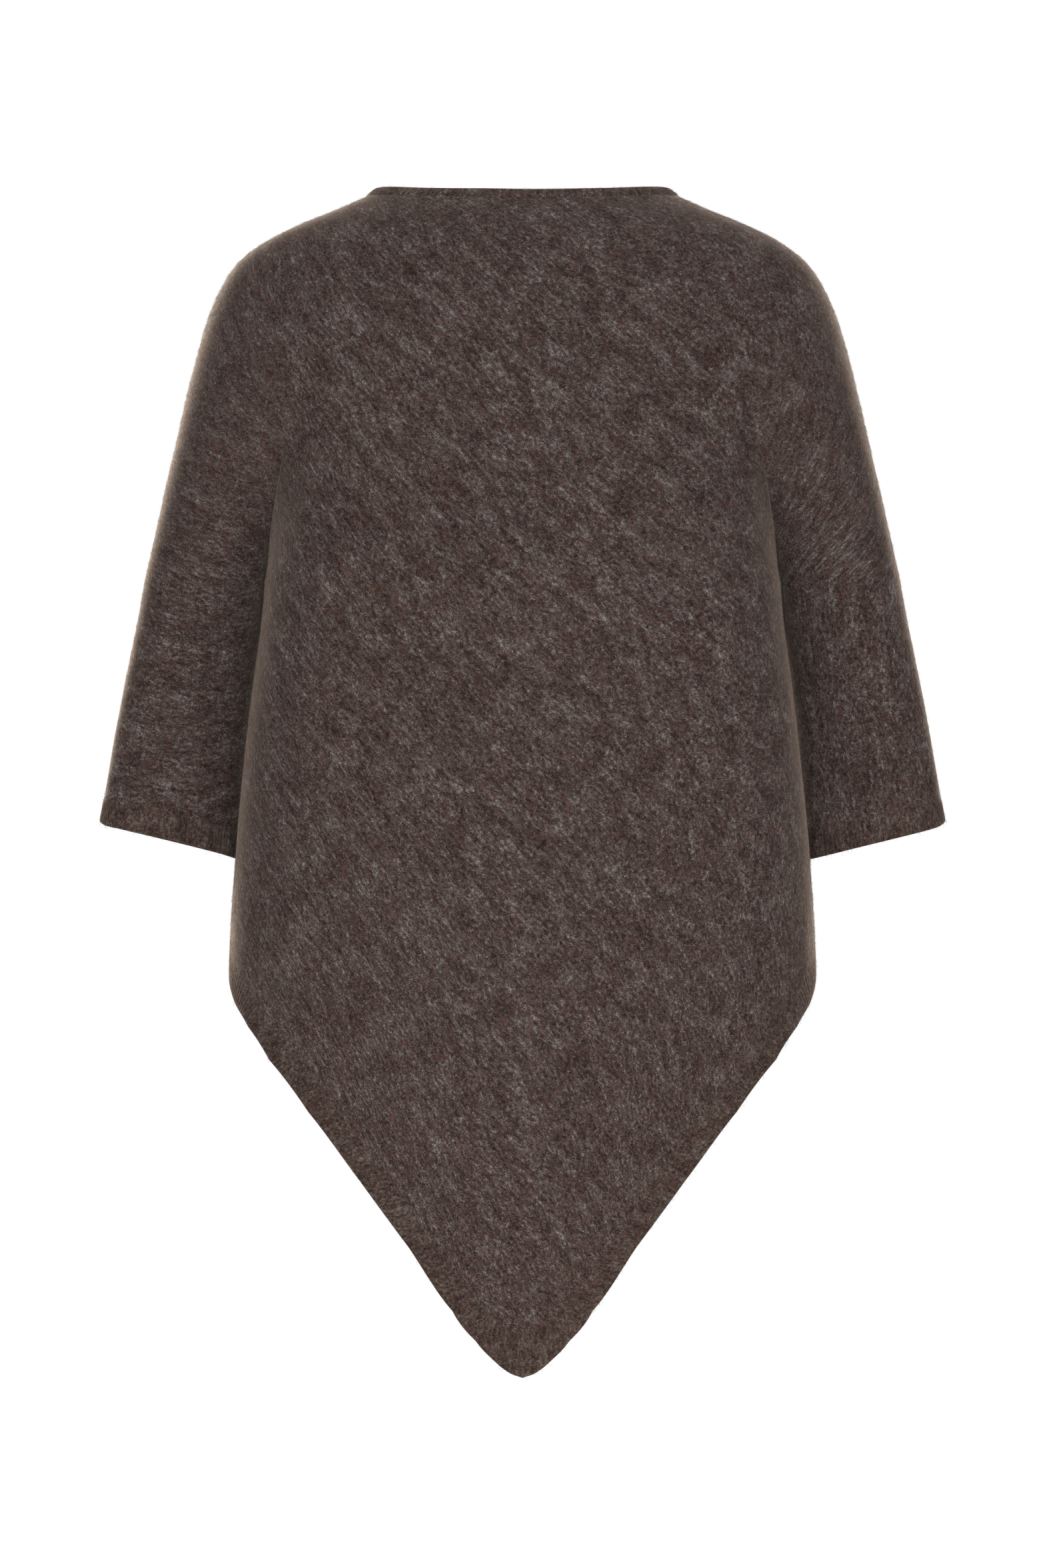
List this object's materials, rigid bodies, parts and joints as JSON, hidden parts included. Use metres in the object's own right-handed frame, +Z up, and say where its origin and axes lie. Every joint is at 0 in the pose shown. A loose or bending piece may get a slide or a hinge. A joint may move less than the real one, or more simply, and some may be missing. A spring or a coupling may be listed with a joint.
{
  "type": "knitted poncho sweater",
  "caption": "Loose knitted pullover with grown-on three-quarter sleeves, boat neck and a deep pointed hem, shown worn and hollow.",
  "frame": {"origin": "midway between the shoulders at the height of the neckband's top edge, where the wearer carries the sweater", "axes": "+Z up, the wearer faces -Y, the wearer's left sleeve is at +X"},
  "size_m": [0.6282, 0.2618, 0.8614],
  "materials": {
    "brown_knit": "fine felted knit in a brown-grey melange, soft and slightly hairy",
    "brown_rib": "the same yarn in a fine ribbed border"
  },
  "bodies": {
    "root": {"back_panel_yoke": "brown_knit", "back_panel_body": "brown_knit", "back_panel_left_sleeve": "brown_knit", "back_panel_right_sleeve": "brown_knit", "back_hem_band": "brown_rib", "front_panel_yoke": "brown_knit", "front_panel_body": "brown_knit", "front_panel_left_sleeve": "brown_knit", "front_panel_right_sleeve": "brown_knit", "front_hem_band": "brown_rib", "left_cuff": "brown_rib", "right_cuff": "brown_rib", "neckband": "brown_rib"}
  },
  "joints": []
}
